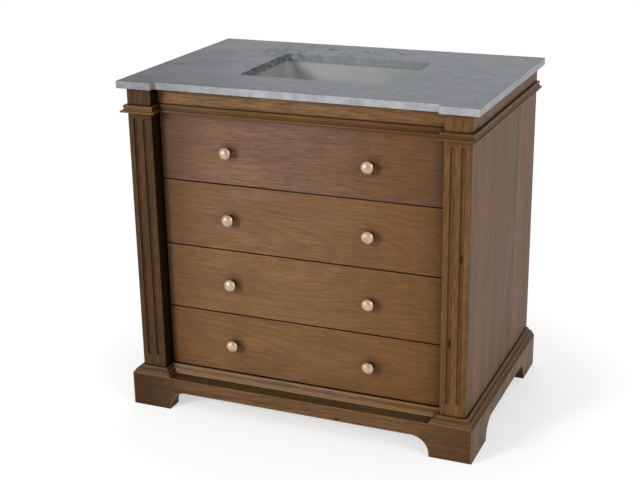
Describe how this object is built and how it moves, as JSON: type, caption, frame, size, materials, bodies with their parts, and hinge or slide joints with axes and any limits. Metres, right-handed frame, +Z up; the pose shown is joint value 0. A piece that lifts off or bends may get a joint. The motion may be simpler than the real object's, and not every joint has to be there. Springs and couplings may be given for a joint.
{
  "type": "bathroom vanity unit",
  "caption": "Freestanding bathroom vanity with a stone top, undermount basin, drawers with round knobs, fluted corner posts and a bracket plinth.",
  "frame": {"origin": "on the floor, at the middle of the plinth's footprint", "axes": "+X to the right seen from the front, +Y to the back, +Z up"},
  "size_m": [0.921, 0.616, 0.864],
  "materials": {
    "marble": "honed",
    "glaze": "gloss",
    "walnut_drawer": "satin, grain across",
    "walnut_post": "satin, grain upright",
    "walnut_side": "satin, grain upright",
    "walnut_frieze": "satin, grain across",
    "walnut_moulding": "satin, glazed in the hollows",
    "walnut_plinth": "satin, grain across",
    "birch": "clear lacquer",
    "knob_metal": "polished, pale",
    "slide_steel": "zinc plated"
  },
  "bodies": {
    "cabinet": {"marble_top": "marble", "basin": "glaze", "basin_clips": "slide_steel", "basin_clip_screws": "slide_steel", "side_panel_left": "walnut_side", "side_panel_right": "walnut_side", "pilaster_left": "walnut_post", "pilaster_right": "walnut_post", "frieze_rail": "walnut_frieze", "floor_panel": "walnut_plinth", "back_rail_top": "birch", "back_rail_bottom": "birch", "rear_posts": "birch", "corner_blocks": "birch", "slide_cleats": "birch", "slide_cabinet_members": "slide_steel", "neck_moulding_center": "walnut_moulding", "neck_moulding_left": "walnut_moulding", "neck_moulding_right": "walnut_moulding", "base_moulding_center": "walnut_moulding", "base_moulding_left": "walnut_moulding", "base_moulding_right": "walnut_moulding", "plinth_front": "walnut_plinth", "plinth_left": "walnut_plinth", "plinth_right": "walnut_plinth", "plinth_back": "birch"},
    "drawer_1": {"drawer_1_front": "walnut_drawer", "drawer_1_sides": "birch", "drawer_1_well": "birch", "drawer_1_back": "birch", "drawer_1_bottom": "birch", "drawer_1_knobs": "knob_metal", "drawer_1_knob_screws": "slide_steel", "drawer_1_slide_members": "slide_steel"},
    "slides_1": {"slide_middles_1": "slide_steel"},
    "drawer_2": {"drawer_2_front": "walnut_drawer", "drawer_2_sides": "birch", "drawer_2_well": "birch", "drawer_2_back": "birch", "drawer_2_bottom": "birch", "drawer_2_knobs": "knob_metal", "drawer_2_knob_screws": "slide_steel", "drawer_2_slide_members": "slide_steel"},
    "slides_2": {"slide_middles_2": "slide_steel"},
    "drawer_3": {"drawer_3_front": "walnut_drawer", "drawer_3_sides": "birch", "drawer_3_back": "birch", "drawer_3_bottom": "birch", "drawer_3_knobs": "knob_metal", "drawer_3_knob_screws": "slide_steel", "drawer_3_slide_members": "slide_steel"},
    "slides_3": {"slide_middles_3": "slide_steel"},
    "drawer_4": {"drawer_4_front": "walnut_drawer", "drawer_4_sides": "birch", "drawer_4_back": "birch", "drawer_4_bottom": "birch", "drawer_4_knobs": "knob_metal", "drawer_4_knob_screws": "slide_steel", "drawer_4_slide_members": "slide_steel"},
    "slides_4": {"slide_middles_4": "slide_steel"}
  },
  "joints": [
    {"name": "drawer_1_slide", "type": "slide", "parent": "cabinet", "child": "drawer_1", "axis": [0, -1, 0], "range_m": [0, 0.4]},
    {"name": "slides_1_travel", "type": "slide", "parent": "cabinet", "child": "slides_1", "axis": [0, -1, 0], "range_m": [0, 0.2]},
    {"name": "drawer_2_slide", "type": "slide", "parent": "cabinet", "child": "drawer_2", "axis": [0, -1, 0], "range_m": [0, 0.4]},
    {"name": "slides_2_travel", "type": "slide", "parent": "cabinet", "child": "slides_2", "axis": [0, -1, 0], "range_m": [0, 0.2]},
    {"name": "drawer_3_slide", "type": "slide", "parent": "cabinet", "child": "drawer_3", "axis": [0, -1, 0], "range_m": [0, 0.4]},
    {"name": "slides_3_travel", "type": "slide", "parent": "cabinet", "child": "slides_3", "axis": [0, -1, 0], "range_m": [0, 0.2]},
    {"name": "drawer_4_slide", "type": "slide", "parent": "cabinet", "child": "drawer_4", "axis": [0, -1, 0], "range_m": [0, 0.4]},
    {"name": "slides_4_travel", "type": "slide", "parent": "cabinet", "child": "slides_4", "axis": [0, -1, 0], "range_m": [0, 0.2]}
  ],
  "couplings": [
    {"joint": "slides_1_travel", "follows": "drawer_1_slide", "ratio": 0.5},
    {"joint": "slides_2_travel", "follows": "drawer_2_slide", "ratio": 0.5},
    {"joint": "slides_3_travel", "follows": "drawer_3_slide", "ratio": 0.5},
    {"joint": "slides_4_travel", "follows": "drawer_4_slide", "ratio": 0.5}
  ]
}
